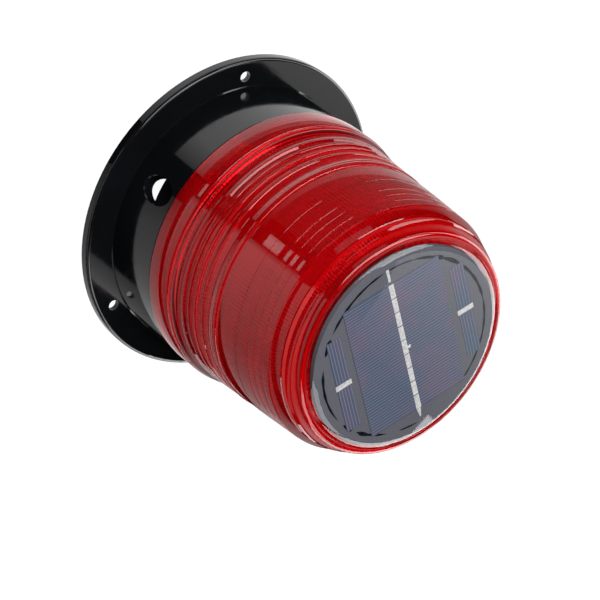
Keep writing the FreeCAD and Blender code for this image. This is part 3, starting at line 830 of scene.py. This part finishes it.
def as_card(name, verts, faces, glow):
    """A reflector that shows only in glossy surfaces, with a glow for each vertex."""
    piece = mesh_piece(name, verts, faces, card_white())
    values = piece.data.attributes.new("glow", "FLOAT", "POINT")
    for i, value in enumerate(glow):
        values.data[i].value = value
    piece.visible_camera = False
    piece.visible_diffuse = False
    piece.visible_transmission = False
    piece.visible_shadow = False


def direction(azimuth, elevation):
    """Towards a place in the studio. Azimuth 0 is the camera's side."""
    a = math.radians(CAM_AZIMUTH + azimuth)
    e = math.radians(elevation)
    return Vector((math.sin(a) * math.cos(e), -math.cos(a) * math.cos(e), math.sin(e)))


def glow_at(azimuth, stops):
    """The glow between the two stops (azimuth, glow) that the azimuth lies between."""
    for (a, low), (b, high) in zip(stops, stops[1:]):
        if a <= azimuth <= b:
            return low + (high - low) * (azimuth - a) / (b - a)
    return 0.0


def floor_card(name, near, far, stops):
    """A ring sector of card on the floor whose glow follows its azimuth stops."""
    start = stops[0][0]
    end = stops[-1][0]
    steps = max(2, int((end - start) / 2))
    verts = []
    glow = []
    for k in range(steps + 1):
        azimuth = start + (end - start) * k / steps
        for r in (near, far):
            verts.append(direction(azimuth, 0) * r + Vector((0, 0, FLOOR_CARD_Z)))
            glow.append(glow_at(azimuth, stops))
    faces = [(2 * k, 2 * k + 1, 2 * k + 3, 2 * k + 2) for k in range(steps)]
    as_card(name, verts, faces, glow)


def standing_card(name, azimuths, elevations, distance, glow):
    """A curved card that faces the object between two azimuths and two elevations; glow
    is its value at the first and the last azimuth."""
    steps = 24
    verts = []
    values = []
    for k in range(steps + 1):
        t = k / steps
        azimuth = azimuths[0] + (azimuths[1] - azimuths[0]) * t
        for elevation in elevations:
            away = direction(azimuth, elevation) * distance
            verts.append(Vector((0, 0, CARD_CENTRE_Z)) + away)
            values.append(glow[0] + (glow[1] - glow[0]) * t)
    faces = [(2 * k, 2 * k + 1, 2 * k + 3, 2 * k + 2) for k in range(steps)]
    as_card(name, verts, faces, values)


def world_light():
    """A dim even light from all round, which glossy surfaces don't show."""
    world = bpy.data.worlds.new("studio_air")
    world.use_nodes = True
    back = world.node_tree.nodes["Background"]
    back.inputs["Color"].default_value = (1, 1, 1, 1)
    back.inputs["Strength"].default_value = 0.3
    world.cycles_visibility.glossy = False
    bpy.context.scene.world = world


def softbox(name, azimuth, elevation, distance, width, height, power):
    """An area light aimed at the object. Azimuth 0 is the camera's side."""
    back = direction(azimuth, elevation)
    data = bpy.data.lights.new(name, "AREA")
    data.shape = "RECTANGLE"
    data.size = width
    data.size_y = height
    data.energy = power
    light = bpy.data.objects.new(name, data)
    light.location = Vector((0, 0, CARD_CENTRE_Z * MM)) + back * distance
    light.rotation_mode = "QUATERNION"
    light.rotation_quaternion = back.to_track_quat("Z", "Y")
    light.visible_glossy = False
    bpy.context.collection.objects.link(light)


def camera():
    """The camera, rolled so that the light lies across the picture."""
    back = direction(0, CAM_ELEVATION)
    level_right = Vector((0, 0, 1)).cross(back).normalized()
    level_up = back.cross(level_right)
    roll = math.radians(CAM_ROLL)
    up = level_up * math.cos(roll) + level_right * math.sin(roll)
    right = up.cross(back)
    data = bpy.data.cameras.new("camera")
    data.lens = CAM_LENS
    data.sensor_width = CAM_SENSOR
    cam = bpy.data.objects.new("camera", data)
    place = Vector(CAM_AIM) + back * CAM_DISTANCE
    turn = Matrix((right, up, back)).transposed().to_4x4()
    cam.matrix_world = Matrix.Translation(place) @ turn
    bpy.context.collection.objects.link(cam)
    bpy.context.scene.camera = cam


def cad_materials():
    """A procedural material for every CAD node that still shows. The pieces that replace
    the others bring their own."""
    slots = {
        "base_plastic": glossy_black(),
        "cup_plastic": moulded("cup_black", (0.012, 0.012, 0.013), 0.35),
        "inner_plastic": moulded("inner_grey", (0.4, 0.4, 0.39), 0.45),
        "steel": metal("zinc_steel", (0.62, 0.62, 0.6), 0.35),
        "nickel": metal("nickel_strip", (0.66, 0.63, 0.58), 0.3),
        "cell_jacket": moulded("cell_sleeve", (0.03, 0.16, 0.07), 0.25),
        "foam": moulded("foam", (0.03, 0.03, 0.03), 0.9, 2500.0, 0.0003),
        "board_laminate": moulded("board_mask", (0.01, 0.09, 0.035), 0.3),
        "board_chip": moulded("chip_black", (0.02, 0.02, 0.022), 0.5),
        "lamp": moulded("lamp_red", (0.5, 0.04, 0.03), 0.12),
        "rubber_seal": moulded("seal_rubber", (0.015, 0.015, 0.015), 0.6),
        "button_plastic": moulded("button_black", (0.02, 0.02, 0.022), 0.4),
        "wire_red": moulded("wire_red", (0.35, 0.012, 0.012), 0.35),
        "panel_laminate": panel_grey(),
        "silicon": silicon("silicon_centre", True, 1.5, 0.25),
    }
    strips = silicon("silicon_strip", False, 1.5, 0.25)
    by_node = {p["node"]: p["material_slot"] for p in frame["record"]["subparts"]}
    for name, node in frame["nodes"].items():
        material = slots.get(by_node[name])
        if name in ("left_cell", "right_cell"):
            material = strips
        if material:
            node.data.materials.clear()
            node.data.materials.append(material)


def lights():
    """One soft light. Glossy surfaces show the cards instead."""
    softbox("key", azimuth=-28, elevation=50, distance=1.2, width=0.8, height=0.8, power=22)


def floor_cards():
    """What the walls of the base and the lens reflect. A stop is (azimuth, glow)."""
    floor_card("floor_near", near=62, far=112, stops=(
        (12, 0.2), (30, 0.55), (90, 0.7), (200, 1.2), (270, 1.3), (338, 1.2), (354, 0.4)))
    floor_card("floor_left", near=130, far=600, stops=(
        (5, 0.2), (9, 1.0), (30, 0.8), (70, 0.35), (150, 0.2)))
    floor_card("floor_right_near", near=112, far=138, stops=(
        (-180, 0.5), (-110, 0.45), (-60, 0.45), (-36, 0.35), (-6, 0.0)))
    floor_card("floor_right", near=138, far=600, stops=(
        (-180, 0.3), (-110, 0.12), (-70, 0.06), (-14, 0.03)))
    floor_card("floor_strip", near=155, far=185, stops=(
        (-5, 1.2), (-3, 2.2), (2, 2.2), (4, 1.2)))


def standing_cards():
    """What the panel, the lip, the ribs and the rings reflect."""
    standing_card("back_card", azimuths=(174, 210), elevations=(22, 62), distance=500,
                  glow=(0.05, 1.8))
    standing_card("rim_card", azimuths=(120, 240), elevations=(0, 30), distance=900,
                  glow=(4.5, 6.5))
    standing_card("rib_card", azimuths=(-130, -68), elevations=(20, 34), distance=700,
                  glow=(4.0, 5.0))
    standing_card("lip_card", azimuths=(106, 150), elevations=(34, 56), distance=700,
                  glow=(4.5, 3.5))
    standing_card("horizon_left", azimuths=(8, 110), elevations=(4, 22), distance=800,
                  glow=(0.8, 0.4))
    standing_card("horizon_right", azimuths=(-56, -24), elevations=(6, 20), distance=800,
                  glow=(0.6, 0.45))
    standing_card("key_card", azimuths=(-116, -14), elevations=(46, 72), distance=650,
                  glow=(7.0, 5.0))


camera()
world_light()
studio()
cad_materials()
lens_piece()
resin_piece()
ribbon_piece()
dark_ring_piece()
panel_leads_piece()
spring_piece()
lights()
floor_cards()
standing_cards()
bpy.context.scene.view_settings.view_transform = "Standard"
